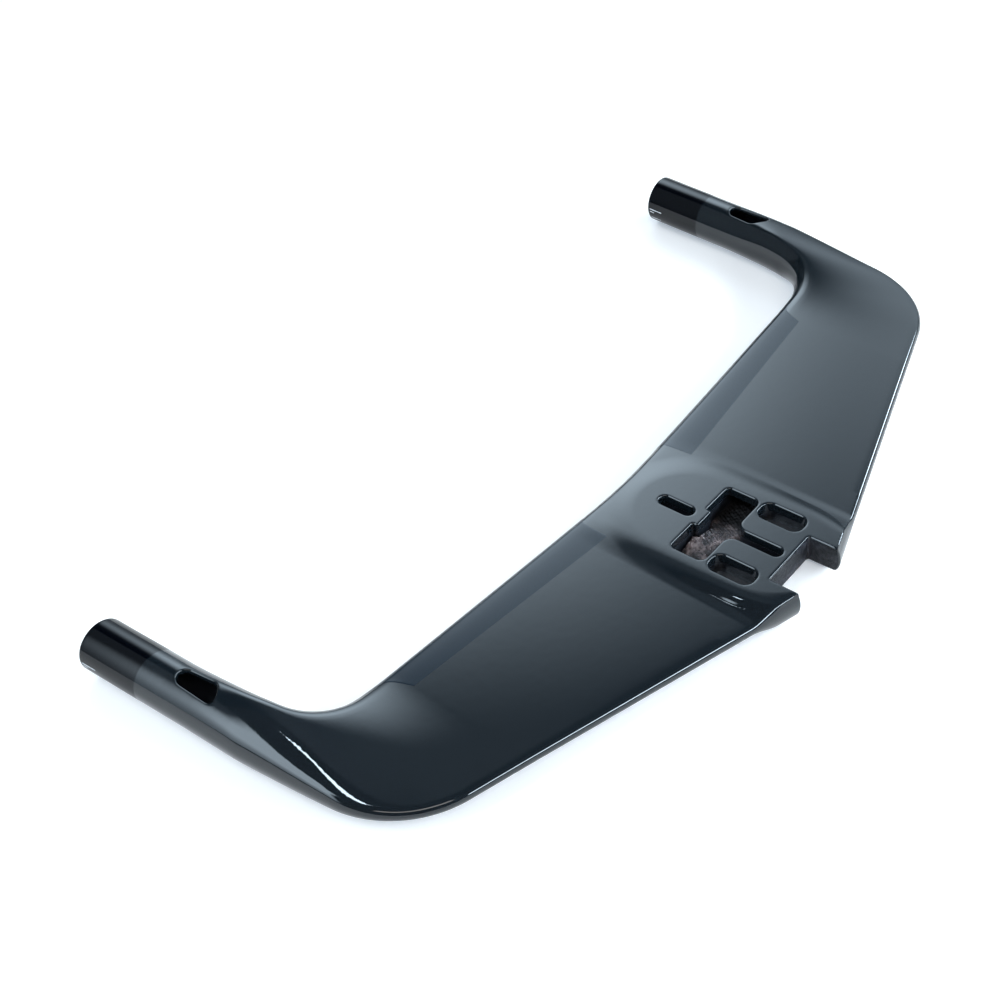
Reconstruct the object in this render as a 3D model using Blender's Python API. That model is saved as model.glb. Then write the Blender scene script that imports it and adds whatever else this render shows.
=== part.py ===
"""Base bar of a time-trial bicycle: a flat hollow carbon wing with two forward horns.

Metres, +Z up.  +Y points forward along the horns and +X is the rider's right.  The origin is
at the bottom centre of the whole bar, and z = 0 is the plane that it rests on.  Every outer
surface is one rolled section: a nose circle and a tail ellipse joined by a smooth blend, which
is swept along the wing, round the corner and into the round grip.
"""
import math

import bmesh
import bpy
from mathutils import Vector

# Horns: a standard round grip, slightly toed in towards the rear and slightly raised in front.
GRIP_RADIUS = 0.0111
TIP_Y = 0.1038
TIP_AXIS_X = 0.1889
TOE = 0.0468
RISE = 0.015
GRIP_CLEARANCE = 0.00013
ROUND_Y = 0.0608

# Wing plan: the leading edge is nearly straight, the trailing edge sweeps forward outboard.
LEAD_Y = -0.0071
LEAD_SWEEP = 0.08
LEAD_ROUNDING = 0.020
TRAIL_Y = -0.1082
TRAIL_SWEEP = 0.306
SPLICE_X = 0.135

# Corner outlines between the splice and the round grip: vertices and their fillet radii.
INNER_VERTICES = ((0.1680, 0.0047), (0.1736, 0.0328))
INNER_RADII = (0.024, 0.100)
OUTER_VERTICES = ((0.1884, -0.0505), (0.1962, 0.0228))
OUTER_RADII = (0.045, 0.080)

# Wing section: nose and tail radii with their centre heights, and the thick ears by the notch.
NOSE_RADIUS = 0.0060
NOSE_Z = 0.0073
TAIL_RADIUS = 0.0027
TAIL_Z_INNER = 0.0076
TAIL_Z_OUTER = 0.0092
EAR_RADIUS = 0.0034
EAR_HALF_HEIGHT = 0.0064
EAR_Z = 0.0073
EAR_X = 0.023
EAR_FADE = 0.015
BLEND = 0.4

# Raised deck on top and flat clamping pad underneath, both measured from the notch wall.
NOTCH_Y = -0.0892
NOTCH_HALF = 0.0144
DECK_Z = 0.0138
DECK_HALF = 0.028
DECK_FRONT = NOTCH_Y + 0.048
DECK_FADE = 0.004
DECK_CORNER = Vector((0.028, NOTCH_Y - 0.002))
DECK_CORNER_NORMAL = Vector((12, -11)).normalized()
PAD_HALF = 0.027
PAD_REAR = NOTCH_Y + 0.002
PAD_FRONT = NOTCH_Y + 0.068
PAD_FADE = 0.003

# Wall thicknesses and the clearance left where two pieces are bonded face to face.
WALL = 0.0018
GAP = 0.0003
PLATE_THICKNESS = 0.004
PLATE_HALF = 0.027
SLEEVE_WALL = 0.0018
SLOT_WALL = 0.0016
WEB_THICKNESS = 0.0014
FLOOR_Z = NOSE_Z - NOSE_RADIUS + WALL + GAP
SLEEVE_TOP = DECK_Z - PLATE_THICKNESS - GAP

# Openings in the deck, from the notch wall: the T pocket and its slot, two bolt slots, one slot.
POCKET_HALF = 0.021
POCKET_REAR = 0.0265
POCKET_FRONT = 0.042
POCKET_TAB = (0.0050, 0.0395)
SLOT_HALF = 0.0027
SLOT_REAR = 0.0035
BOLT_X = 0.018
BOLT_Y = NOTCH_Y + 0.0145
BOLT_HALF = (0.0048, 0.0100)
BOLT_LOWER_HALF = (0.0032, 0.0084)
BOLT_LEDGE_Z = 0.0066
FRONT_SLOT = (0.045, 0.0615)
GRIP_SLOT_CENTRE = (0.1860, 0.0493)
GRIP_SLOT_HALF = (0.0040, 0.00975)

# Leading-edge film: its four corners in x, its width behind the edge, its lap under the nose.
FILM_START = (0.030, 0.024)
FILM_END = (1.0, 1.13)
FILM_TOP_ANGLE = 1.78
FILM_LAP_ANGLE = 3.75
FILM_CLEAR = 0.00008
FILM_THICKNESS = 0.00022

# Inner pieces, given by their reach in x along the wing.
EAR_CORE_LENGTH = 0.0115
SPAR_REACH = (0.034, 0.124)
SPAR_HALF_ANGLE = 0.006
TAIL_CORE_REACH = (0.040, 0.134)
TAIL_CORE_ANGLE = 1.37
JOINT_WALL = 0.0012
JOINT_STATIONS = (0.95, 0.98, 1.0, 1.05, 1.1)

# How far the cutting prisms run: below the bar, above it, and out of the notch's open end.
BELOW = -0.010
INSIDE = 0.006
ABOVE = 0.030
BEHIND = 0.040

CARBON = (0.025, 0.036, 0.046)
RAW_CARBON = (0.060, 0.052, 0.048)
FILM = (0.014, 0.020, 0.027)
FOAM = (0.150, 0.140, 0.120)


def smooth(t):
    t = min(1.0, max(0.0, t))
    return t * t * (3 - 2 * t)


def lerp(a, b, t):
    return a + (b - a) * t


def leading_y(x):
    return LEAD_Y + LEAD_SWEEP * (math.hypot(x, LEAD_ROUNDING) - LEAD_ROUNDING)


def trailing_y(x):
    return TRAIL_Y + TRAIL_SWEEP * x


def grip_x(y):
    return TIP_AXIS_X - TOE * (TIP_Y - y)


def grip_z(y):
    return GRIP_RADIUS + GRIP_CLEARANCE + RISE * (y - ROUND_Y)


def corner_arc(before, corner, after, radius, steps):
    """Points of the arc that rounds one corner of an outline."""
    to_before = (before - corner).normalized()
    to_after = (after - corner).normalized()
    half = to_before.angle(to_after) / 2
    bisector = (to_before + to_after).normalized()
    centre = corner + bisector * (radius / math.sin(half))
    first = corner + to_before * (radius / math.tan(half)) - centre
    last = corner + to_after * (radius / math.tan(half)) - centre
    turn = first.angle_signed(last)
    return [centre + rotated(first, -turn * k / steps) for k in range(steps + 1)]


def rotated(vector, angle):
    c, s = math.cos(angle), math.sin(angle)
    return Vector((vector.x * c - vector.y * s, vector.x * s + vector.y * c))


def filleted_path(points, radii):
    """An open path with its inner vertices rounded."""
    path = [points[0]]
    for k, radius in enumerate(radii, 1):
        path += corner_arc(points[k - 1], points[k], points[k + 1], radius, 24)
    return path + [points[-1]]


def filleted_loop(corners, steps=4):
    """A closed outline from (x, y, radius) corners."""
    points = [Vector(corner[:2]) for corner in corners]
    loop = []
    for k, corner in enumerate(corners):
        after = points[(k + 1) % len(points)]
        loop += corner_arc(points[k - 1], points[k], after, corner[2], steps)
    return loop


def point_along(path, fraction):
    lengths = [(b - a).length for a, b in zip(path, path[1:])]
    left = fraction * sum(lengths)
    for start, end, length in zip(path, path[1:], lengths):
        if left <= length:
            return start.lerp(end, left / length)
        left -= length
    return path[-1].copy()


def corner_paths():
    inner = [Vector((SPLICE_X, leading_y(SPLICE_X)))]
    inner += [Vector(vertex) for vertex in INNER_VERTICES]
    inner.append(Vector((grip_x(ROUND_Y) - GRIP_RADIUS, ROUND_Y)))
    outer = [Vector((SPLICE_X, trailing_y(SPLICE_X)))]
    outer += [Vector(vertex) for vertex in OUTER_VERTICES]
    outer.append(Vector((grip_x(ROUND_Y) + GRIP_RADIUS, ROUND_Y)))
    return filleted_path(inner, INNER_RADII), filleted_path(outer, OUTER_RADII)


INNER_PATH, OUTER_PATH = corner_paths()


def station(s):
    """Section ends and radii at s: 0 to 1 is the wing, 1 to 2 the corner, 2 to 3 the grip."""
    if s <= 1:
        x = SPLICE_X * s
        ear = 1 - smooth((x - EAR_X) / EAR_FADE)
        tail_z = lerp(lerp(TAIL_Z_INNER, TAIL_Z_OUTER, s), EAR_Z, ear)
        tail = (lerp(TAIL_RADIUS, EAR_RADIUS, ear), lerp(TAIL_RADIUS, EAR_HALF_HEIGHT, ear), tail_z)
        return Vector((x, leading_y(x))), Vector((x, trailing_y(x))), (NOSE_RADIUS, NOSE_Z), tail
    if s <= 2:
        t = s - 1
        nose_growth = smooth(t / 0.75)
        tail_growth = smooth((t - 0.28) / 0.62)
        tail_rise = smooth((t - 0.5) / 0.5)
        nose = (lerp(NOSE_RADIUS, GRIP_RADIUS, nose_growth), lerp(NOSE_Z, grip_z(ROUND_Y), nose_growth))
        tail_radius = lerp(TAIL_RADIUS, GRIP_RADIUS, tail_growth)
        tail = (tail_radius, tail_radius, lerp(TAIL_Z_OUTER, grip_z(ROUND_Y), tail_rise))
        return point_along(INNER_PATH, t), point_along(OUTER_PATH, t), nose, tail
    y = lerp(ROUND_Y, TIP_Y, s - 2)
    inner, outer = (Vector((grip_x(y) + side * GRIP_RADIUS, y)) for side in (-1, 1))
    return inner, outer, (GRIP_RADIUS, grip_z(y)), (GRIP_RADIUS, GRIP_RADIUS, grip_z(y))


def deck_distance(x, y):
    """How far a point lies outside the deck's flat top."""
    x = abs(x)
    if y > DECK_FRONT:
        return math.hypot(x, y - DECK_FRONT) - DECK_HALF
    chamfer = (Vector((x, y)) - DECK_CORNER).dot(DECK_CORNER_NORMAL)
    return max(x - DECK_HALF, chamfer)


def pad_distance(x, y):
    return max(abs(x) - PAD_HALF, PAD_REAR - y, y - PAD_FRONT)


def surface_point(place, angle, inset=0.0):
    """A point of the section at place; angle 0 is the tail, a quarter turn the top, a half the nose."""
    lead, trail, nose, tail = place
    chord = (trail - lead).length
    cosine, sine = math.cos(angle), math.sin(angle)
    w = smooth((cosine + BLEND) / (2 * BLEND))
    along = lerp(nose[0], chord - tail[0], w) + (lerp(nose[0], tail[0], w) - inset) * cosine
    z = lerp(nose[1], tail[2], w) + (lerp(nose[0], tail[1], w) - inset) * sine
    x, y = lead + (trail - lead) * (along / chord)
    faces_up = smooth((sine - 0.7) / 0.2)
    faces_down = smooth((-sine - 0.7) / 0.2)
    on_deck = faces_up * (1 - smooth(deck_distance(x, y) / DECK_FADE))
    on_pad = faces_down * (1 - smooth(pad_distance(x, y) / PAD_FADE))
    z = lerp(z, DECK_Z - inset, on_deck)
    z = lerp(z, inset, on_pad)
    return Vector((x, y, z))


def blend_angle(w):
    """The section angle at which the blend has gone the share w of the way from nose to tail."""
    t = 0.5 - math.sin(math.asin(1 - 2 * w) / 3)
    return math.acos(BLEND * (2 * t - 1))


def half_angles(first, last, nose_steps=5, span_steps=9, tail_steps=4):
    """Angles over the top half, from the tail's to the nose's, evenly spread along the surface."""
    tail_end = math.acos(BLEND)
    nose_end = math.pi - tail_end
    tail = [lerp(first, tail_end, k / tail_steps) for k in range(tail_steps)]
    span = [blend_angle(1 - k / span_steps) for k in range(span_steps)]
    nose = [lerp(nose_end, last, k / nose_steps) for k in range(nose_steps + 1)]
    return tail + span + nose


def full_angles():
    top = half_angles(0.0, math.pi)
    return top + [-angle for angle in reversed(top[1:-1])]


def mirrored(point, side):
    return Vector((point.x * side, point.y, point.z))


def section(place, angles, side=1, inset=0.0):
    return [mirrored(surface_point(place, angle, inset), side) for angle in angles]


def material(name, colour, roughness, coat=0.0):
    made = bpy.data.materials.new(name)
    made.use_nodes = True
    shader = made.node_tree.nodes["Principled BSDF"]
    shader.inputs["Base Color"].default_value = (*colour, 1)
    shader.inputs["Roughness"].default_value = roughness
    shader.inputs["Metallic"].default_value = 0.0
    shader.inputs["Coat Weight"].default_value = coat
    return made


def add_object(name, mesh, colour, roughness, coat=0.0):
    mesh.shade_smooth()
    mesh.set_sharp_from_angle(angle=math.radians(30))
    mesh.materials.append(material(name, colour, roughness, coat))
    made = bpy.data.objects.new(name, mesh)
    bpy.context.scene.collection.objects.link(made)
    return made


def mesh_of(name, rows, faces):
    """A mesh from rows of points and faces of (row, column) corners, turned to face out."""
    mesh = bpy.data.meshes.new(name)
    built = bmesh.new()
    verts = [[built.verts.new(point) for point in row] for row in rows]
    for face in faces:
        built.faces.new([verts[row][column] for row, column in face])
    bmesh.ops.recalc_face_normals(built, faces=built.faces)
    bmesh.ops.triangulate(built, faces=built.faces)
    built.to_mesh(mesh)
    built.free()
    return mesh


def loft_mesh(name, rings):
    """Closed rings joined in order, with flat ends."""
    count = len(rings[0])
    faces = [[(end, k) for k in range(count)] for end in (0, len(rings) - 1)]
    for row in range(len(rings) - 1):
        for k in range(count):
            after = (k + 1) % count
            faces.append([(row, k), (row, after), (row + 1, after), (row + 1, k)])
    return mesh_of(name, rings, faces)


def loop_mesh(name, rings):
    """Closed rings joined in order, the last one back to the first."""
    faces = []
    count = len(rings[0])
    for row in range(len(rings)):
        below = (row + 1) % len(rings)
        for k in range(count):
            after = (k + 1) % count
            faces.append([(row, k), (row, after), (below, after), (below, k)])
    return mesh_of(name, rings, faces)


def tube_mesh(name, outer, inner):
    """A hollow tube that is open at both ends."""
    return loop_mesh(name, outer + inner[::-1])


def sheet_mesh(name, outer, inner):
    """A thin closed shell between two open grids of the same size."""
    rings = [top + bottom[::-1] for top, bottom in zip(outer, inner)]
    return loft_mesh_with_quads(name, rings, len(outer[0]))


def loft_mesh_with_quads(name, rings, half):
    """As loft_mesh, with each end closed by quads between its upper and lower points."""
    faces = []
    count = len(rings[0])
    for row in range(len(rings) - 1):
        for k in range(count):
            after = (k + 1) % count
            faces.append([(row, k), (row, after), (row + 1, after), (row + 1, k)])
    for end in (0, len(rings) - 1):
        for k in range(half - 1):
            faces.append([(end, k), (end, k + 1), (end, count - 2 - k), (end, count - 1 - k)])
    return mesh_of(name, rings, faces)


def at_height(loop, z):
    return [Vector((point.x, point.y, z)) for point in loop]


def prism_mesh(name, loop, low, high):
    return loft_mesh(name, [at_height(loop, low), at_height(loop, high)])


def cut(target, name, loop, low, high, operation="DIFFERENCE"):
    """Cuts a prism out of a piece, or keeps only what lies inside it."""
    cutter = bpy.data.objects.new(name, prism_mesh(name, loop, low, high))
    bpy.context.scene.collection.objects.link(cutter)
    cutter.hide_render = True
    cutter.display_type = "WIRE"
    modifier = target.modifiers.new(name, "BOOLEAN")
    modifier.operation = operation
    modifier.solver = "EXACT"
    modifier.object = cutter


def capsule(centre, half_width, half_length, heading=0.0, steps=6):
    """A slot outline along Y, turned by heading."""
    points = []
    for end in (1, -1):
        for k in range(steps + 1):
            angle = math.pi * k / steps + (0 if end > 0 else math.pi)
            reach = end * (half_length - half_width)
            points.append(Vector((half_width * math.cos(angle), reach + half_width * math.sin(angle))))
    return [Vector(centre) + rotated(point, heading) for point in points]


def rectangle(low, high, radius, steps=4):
    corners = ((low[0], low[1]), (high[0], low[1]), (high[0], high[1]), (low[0], high[1]))
    return filleted_loop([(*corner, radius) for corner in corners], steps)


def box_loop(low, high):
    return [Vector(p) for p in ((low[0], low[1]), (high[0], low[1]), (high[0], high[1]), (low[0], high[1]))]


def around(centre, half, grow=0.0, radius=0.004):
    low = (centre[0] - half[0] - grow, centre[1] - half[1] - grow)
    high = (centre[0] + half[0] + grow, centre[1] + half[1] + grow)
    return rectangle(low, high, radius + grow)


def deck_outline(grow=0.0):
    """The boss plate's outline: square at the notch, a half circle in front."""
    half = PLATE_HALF + grow
    loop = [Vector((-half, NOTCH_Y - grow)), Vector((half, NOTCH_Y - grow))]
    steps = 20
    for k in range(steps + 1):
        angle = math.pi * k / steps
        loop.append(Vector((half * math.cos(angle), DECK_FRONT + half * math.sin(angle))))
    return loop


def pocket_outline():
    """The T pocket with its rear slot, and the small tab in the middle of its front edge."""
    tab_half, tab_y = POCKET_TAB
    corners = (
        (POCKET_HALF, POCKET_FRONT, 0.0022),
        (tab_half, POCKET_FRONT, 0.0008),
        (tab_half, tab_y, 0.0010),
        (-tab_half, tab_y, 0.0010),
        (-tab_half, POCKET_FRONT, 0.0008),
        (-POCKET_HALF, POCKET_FRONT, 0.0022),
        (-POCKET_HALF, POCKET_REAR, 0.0032),
        (-SLOT_HALF, POCKET_REAR, 0.0048),
        (-SLOT_HALF, SLOT_REAR, 0.0026),
        (SLOT_HALF, SLOT_REAR, 0.0026),
        (SLOT_HALF, POCKET_REAR, 0.0048),
        (POCKET_HALF, POCKET_REAR, 0.0032),
    )
    return filleted_loop([(x, NOTCH_Y + y, radius) for x, y, radius in corners])


def front_slot_outline(grow=0.0):
    middle = (FRONT_SLOT[0] + FRONT_SLOT[1]) / 2
    half_length = (FRONT_SLOT[1] - FRONT_SLOT[0]) / 2
    return capsule((0, NOTCH_Y + middle), SLOT_HALF + grow, half_length + grow)


def notch_loop():
    return box_loop((-NOTCH_HALF, NOTCH_Y - BEHIND), (NOTCH_HALF, NOTCH_Y))


def wing_stations():
    """Station x values from left to right, closer together by the ears and the deck's edge."""
    right = [0.0, 0.007, 0.0135, 0.019, 0.0235, 0.0265, 0.029, 0.0315, 0.0345, 0.038, 0.043]
    right += [0.043 + (SPLICE_X - GAP / 2 - 0.043) * k / 7 for k in range(1, 8)]
    return [-x for x in reversed(right[1:])] + right


def wing_half(name, upper):
    """The upper or lower moulded skin of the wing."""
    nose_gap = GAP / 2 / NOSE_RADIUS
    tail_gap = GAP / 2 / TAIL_RADIUS
    angles = half_angles(tail_gap, math.pi - nose_gap)
    if not upper:
        angles = [-angle for angle in angles]
    outer = []
    inner = []
    for x in wing_stations():
        place = station(abs(x) / SPLICE_X)
        side = -1 if x < 0 else 1
        outer.append(section(place, angles, side))
        inner.append(section(place, angles, side, WALL))
    return add_object(name, sheet_mesh(name, outer, inner), CARBON, 0.12, 1.0)


def wing_upper_skin():
    skin = wing_half("wing_upper_skin", True)
    cut(skin, "deck_hole_cutter", deck_outline(GAP), INSIDE, ABOVE)
    cut(skin, "upper_notch_cutter", notch_loop(), BELOW, ABOVE)


def wing_lower_skin():
    skin = wing_half("wing_lower_skin", False)
    cut(skin, "lower_notch_cutter", notch_loop(), BELOW, ABOVE)
    for side, word in ((-1, "left"), (1, "right")):
        loop = around((side * BOLT_X, BOLT_Y), BOLT_LOWER_HALF, radius=0.003)
        cut(skin, word + "_lower_bolt_cutter", loop, BELOW, INSIDE)


def centre_boss():
    mesh = prism_mesh("centre_boss", deck_outline(), DECK_Z - PLATE_THICKNESS, DECK_Z)
    plate = add_object("centre_boss", mesh, CARBON, 0.12, 1.0)
    cut(plate, "pocket_cutter", pocket_outline(), INSIDE, ABOVE)
    cut(plate, "front_slot_cutter", front_slot_outline(), INSIDE, ABOVE)
    for side, word in ((-1, "left"), (1, "right")):
        loop = around((side * BOLT_X, BOLT_Y), BOLT_HALF)
        cut(plate, word + "_bolt_cutter", loop, INSIDE, ABOVE)


def notch_web():
    """The thin wall that closes the front of the notch between the boss plate and the floor."""
    loop = box_loop((GAP - NOTCH_HALF, NOTCH_Y), (NOTCH_HALF - GAP, NOTCH_Y + WEB_THICKNESS))
    add_object("notch_web", prism_mesh("notch_web", loop, FLOOR_Z, SLEEVE_TOP), RAW_CARBON, 0.6)


def ear_core(name, side):
    """Solid laminate that fills the ear beside the notch."""
    first, last = NOTCH_HALF - 0.001, NOTCH_HALF + EAR_CORE_LENGTH + 0.001
    stations = [lerp(first, last, k / 5) / SPLICE_X for k in range(6)]
    rings = [section(station(s), full_angles(), side, WALL + GAP) for s in stations]
    core = add_object(name, loft_mesh(name, rings), RAW_CARBON, 0.6)
    xs = sorted((side * NOTCH_HALF, side * (NOTCH_HALF + EAR_CORE_LENGTH)))
    loop = box_loop((xs[0], NOTCH_Y - BEHIND), (xs[1], NOTCH_Y - 2 * GAP))
    cut(core, name + "_limits", loop, BELOW, ABOVE, "INTERSECT")


def bolt_sleeve(name, side):
    """Lines one bolt slot: a wide bore with a ledge, and a narrower slot below it."""
    centre = (side * BOLT_X, BOLT_Y)
    outside = around(centre, BOLT_HALF, SLEEVE_WALL)
    bore = around(centre, BOLT_HALF)
    slot = around(centre, BOLT_LOWER_HALF, radius=0.003)
    rings = [at_height(outside, FLOOR_Z), at_height(outside, SLEEVE_TOP), at_height(bore, SLEEVE_TOP)]
    rings += [at_height(bore, BOLT_LEDGE_Z), at_height(slot, BOLT_LEDGE_Z), at_height(slot, FLOOR_Z)]
    add_object(name, loop_mesh(name, rings), RAW_CARBON, 0.6)


def front_slot_sleeve():
    name = "front_slot_sleeve"
    outside = front_slot_outline(SLOT_WALL)
    bore = front_slot_outline()
    rings = [at_height(outside, FLOOR_Z), at_height(outside, SLEEVE_TOP)]
    rings += [at_height(bore, SLEEVE_TOP), at_height(bore, FLOOR_Z)]
    add_object(name, loop_mesh(name, rings), RAW_CARBON, 0.6)


def centre_slot_sleeve():
    """A U-shaped rib round the centre slot, open at its front into the T pocket."""
    name = "centre_slot_sleeve"
    rear = SLOT_REAR + SLOT_HALF
    front = POCKET_REAR - 0.005
    steps = 8
    loop = []
    for radius, way in ((SLOT_HALF + SLOT_WALL, 1), (SLOT_HALF, -1)):
        loop.append(Vector((-way * radius, NOTCH_Y + front)))
        for k in range(steps + 1):
            angle = math.pi * k / steps
            x = -way * radius * math.cos(angle)
            loop.append(Vector((x, NOTCH_Y + rear - radius * math.sin(angle))))
        loop.append(Vector((way * radius, NOTCH_Y + front)))
    add_object(name, prism_mesh(name, loop, FLOOR_Z, SLEEVE_TOP), RAW_CARBON, 0.6)


def spar(name, side):
    """An upright web inside the wing that ties the upper skin to the lower one."""
    top = (math.pi / 2 - SPAR_HALF_ANGLE, math.pi / 2 + SPAR_HALF_ANGLE)
    angles = top + (-top[1], -top[0])
    rings = []
    for k in range(9):
        place = station(lerp(*SPAR_REACH, k / 8) / SPLICE_X)
        rings.append(section(place, angles, side, WALL + GAP))
    add_object(name, loft_mesh(name, rings), RAW_CARBON, 0.7)


def trailing_edge_core(name, side):
    """The light core that keeps the two skins apart along the thin trailing edge."""
    angles = [lerp(-TAIL_CORE_ANGLE, TAIL_CORE_ANGLE, k / 10) for k in range(11)]
    rings = []
    for k in range(9):
        place = station(lerp(*TAIL_CORE_REACH, k / 8) / SPLICE_X)
        rings.append(section(place, angles, side, WALL + GAP))
    add_object(name, loft_mesh(name, rings), FOAM, 0.8)


def horn(name, side):
    """The hollow corner and grip, with the cable slot in its top."""
    angles = full_angles()
    stations = [1.0] + [1 + k / 14 for k in range(1, 15)] + [2.25, 2.5, 2.75, 3.0]
    outer = [section(station(s), angles, side) for s in stations]
    inner = [section(station(s), angles, side, WALL) for s in stations]
    for ring in (outer[0], inner[0]):
        for point in ring:
            point.x += side * GAP / 2
    made = add_object(name, tube_mesh(name, outer, inner), CARBON, 0.12, 1.0)
    centre = (side * GRIP_SLOT_CENTRE[0], GRIP_SLOT_CENTRE[1])
    loop = capsule(centre, *GRIP_SLOT_HALF, heading=-side * math.atan(TOE))
    cut(made, name + "_slot_cutter", loop, DECK_Z, ABOVE)


def joint_sleeve(name, side):
    """The bonded sleeve inside the front half of the splice between wing and horn."""
    rings = []
    for inset, spread in ((WALL + GAP, 0.0), (WALL + GAP + JOINT_WALL, 0.0075)):
        first, last = math.pi / 2 + spread, 3 * math.pi / 2 - spread
        angles = [lerp(first, last, k / 14) for k in range(15)]
        rings.append([section(station(s), angles, side, inset) for s in JOINT_STATIONS])
    add_object(name, tube_mesh(name, rings[0], rings[1]), RAW_CARBON, 0.6)


def edge_film(name, side):
    """A thin film over the leading edge, with slanted ends."""
    across, lengthwise = 10, 16
    layers = []
    for inset in (-FILM_CLEAR - FILM_THICKNESS, -FILM_CLEAR):
        rows = []
        for i in range(lengthwise + 1):
            row = []
            for j in range(across + 1):
                angle = lerp(FILM_TOP_ANGLE, FILM_LAP_ANGLE, j / across)
                share = min(1.0, 2 * j / across)
                start = lerp(FILM_START[0], FILM_START[1], share) / SPLICE_X
                s = lerp(start, lerp(FILM_END[0], FILM_END[1], share), i / lengthwise)
                row.append(mirrored(surface_point(station(s), angle, inset), side))
            rows.append(row)
        layers.append(rows)
    add_object(name, sheet_mesh(name, layers[0], layers[1]), FILM, 0.3)


def clear_scene():
    for old in list(bpy.data.objects):
        bpy.data.objects.remove(old, do_unlink=True)


def main():
    clear_scene()
    wing_upper_skin()
    wing_lower_skin()
    centre_boss()
    notch_web()
    front_slot_sleeve()
    centre_slot_sleeve()
    for side, word in ((-1, "left"), (1, "right")):
        ear_core(word + "_ear_core", side)
        bolt_sleeve(word + "_bolt_sleeve", side)
        spar(word + "_spar", side)
        trailing_edge_core(word + "_trailing_edge_core", side)
        horn(word + "_horn", side)
        joint_sleeve(word + "_joint_sleeve", side)
        edge_film(word + "_edge_film", side)


main()
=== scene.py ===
"""Looks of the carbon base bar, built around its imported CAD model.

The painted body is one closed skin: a rolled section swept from tip to tip, with a finely
triangulated middle that carries the raised deck, the notch and the openings with their rounded
rims.  The horns' bores, the pocket and the housings of the sleeves belong to it.  The edge films
and the raw faces of the notch are thin pieces of their own.  The sleeves and everything inside
are the CAD model's nodes.  All lengths are in metres, in the CAD model's frame.
"""
import math

import bmesh
import bpy
import numpy as np
from mathutils import Euler, Matrix, Vector
from mathutils.geometry import delaunay_2d_cdt


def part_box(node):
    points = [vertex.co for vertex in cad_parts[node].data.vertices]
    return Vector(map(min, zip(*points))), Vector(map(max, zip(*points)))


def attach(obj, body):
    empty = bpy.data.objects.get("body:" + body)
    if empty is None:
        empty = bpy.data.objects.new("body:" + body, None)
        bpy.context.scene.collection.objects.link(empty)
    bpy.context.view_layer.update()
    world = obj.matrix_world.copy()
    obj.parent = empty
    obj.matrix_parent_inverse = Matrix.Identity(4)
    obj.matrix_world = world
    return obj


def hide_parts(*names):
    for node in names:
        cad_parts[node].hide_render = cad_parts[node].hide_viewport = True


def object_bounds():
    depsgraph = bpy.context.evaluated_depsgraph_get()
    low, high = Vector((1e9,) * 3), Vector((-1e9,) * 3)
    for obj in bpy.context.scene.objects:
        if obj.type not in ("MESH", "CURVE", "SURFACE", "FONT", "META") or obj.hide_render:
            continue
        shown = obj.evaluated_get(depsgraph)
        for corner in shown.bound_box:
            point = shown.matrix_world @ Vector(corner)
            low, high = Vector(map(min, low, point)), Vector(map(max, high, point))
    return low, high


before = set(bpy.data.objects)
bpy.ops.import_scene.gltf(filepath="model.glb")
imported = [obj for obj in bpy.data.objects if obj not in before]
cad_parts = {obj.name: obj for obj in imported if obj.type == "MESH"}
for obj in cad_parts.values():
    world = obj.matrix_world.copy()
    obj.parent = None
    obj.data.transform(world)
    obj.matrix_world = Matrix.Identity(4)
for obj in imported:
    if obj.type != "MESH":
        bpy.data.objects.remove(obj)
CAD_LOW, CAD_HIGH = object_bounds()

# Horns.
GRIP_RADIUS = 0.0111
TIP_Y = CAD_HIGH.y
TIP_AXIS_X = 0.1889
TOE = 0.0468
RISE = 0.015
GRIP_CLEARANCE = 0.00013
ROUND_Y = 0.0608

# Wing plan.
LEAD_Y = -0.0071
LEAD_SWEEP = 0.08
LEAD_ROUNDING = 0.020
TRAIL_Y = -0.1082
TRAIL_SWEEP = 0.306
SPLICE_X = 0.135
ARC_STEPS = 60
INNER_VERTICES = ((0.1680, 0.0047), (0.1736, 0.0328))
INNER_RADII = (0.024, 0.100)
OUTER_VERTICES = ((0.1884, -0.0505), (0.1962, 0.0228))
OUTER_RADII = (0.045, 0.080)

# Where in the corner, from 0 at the wing to 1 at the grip, the section grows round.
NOSE_GROWN = 0.75
TAIL_GROWS = (0.28, 0.90)
TAIL_RISES = 0.5

# Wing section and the thick ears beside the notch.
NOSE_RADIUS = 0.0060
NOSE_Z = 0.0073
TAIL_RADIUS = 0.0027
TAIL_Z_INNER = 0.0076
TAIL_Z_OUTER = 0.0092
EAR_RADIUS = 0.0034
EAR_HALF_HEIGHT = 0.0064
EAR_Z = 0.0073
EAR_X = 0.023
EAR_FADE = 0.015

# The section's flat lies where the angle's cosine is within BLEND; the deck and the pad need a
# sine above FLAT_FROM, and are complete FLAT_SPAN further.
BLEND = 0.4
FLAT_FROM = 0.7
FLAT_SPAN = 0.2

# Raised deck and clamping pad.
NOTCH_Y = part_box("notch_web")[0].y
NOTCH_HALF = 0.0144
DECK_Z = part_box("centre_boss")[1].z
DECK_HALF = 0.028
DECK_FRONT = NOTCH_Y + 0.048
DECK_CORNER = (DECK_HALF, NOTCH_Y - 0.002)
DECK_CORNER_NORMAL = (12 / math.hypot(12, 11), -11 / math.hypot(12, 11))
DECK_CORNER_BLEND = 0.008
# The width of the deck's flank and how far inside its outline it starts, at the front and rear.
DECK_FADE = (0.0130, 0.0080)
DECK_INSET = (0.0065, 0.0036)
DECK_ROUND = 1.15
PAD_HALF = 0.027
PAD_REAR = NOTCH_Y + 0.002
PAD_FRONT = NOTCH_Y + 0.068
PAD_FADE = 0.003

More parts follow.
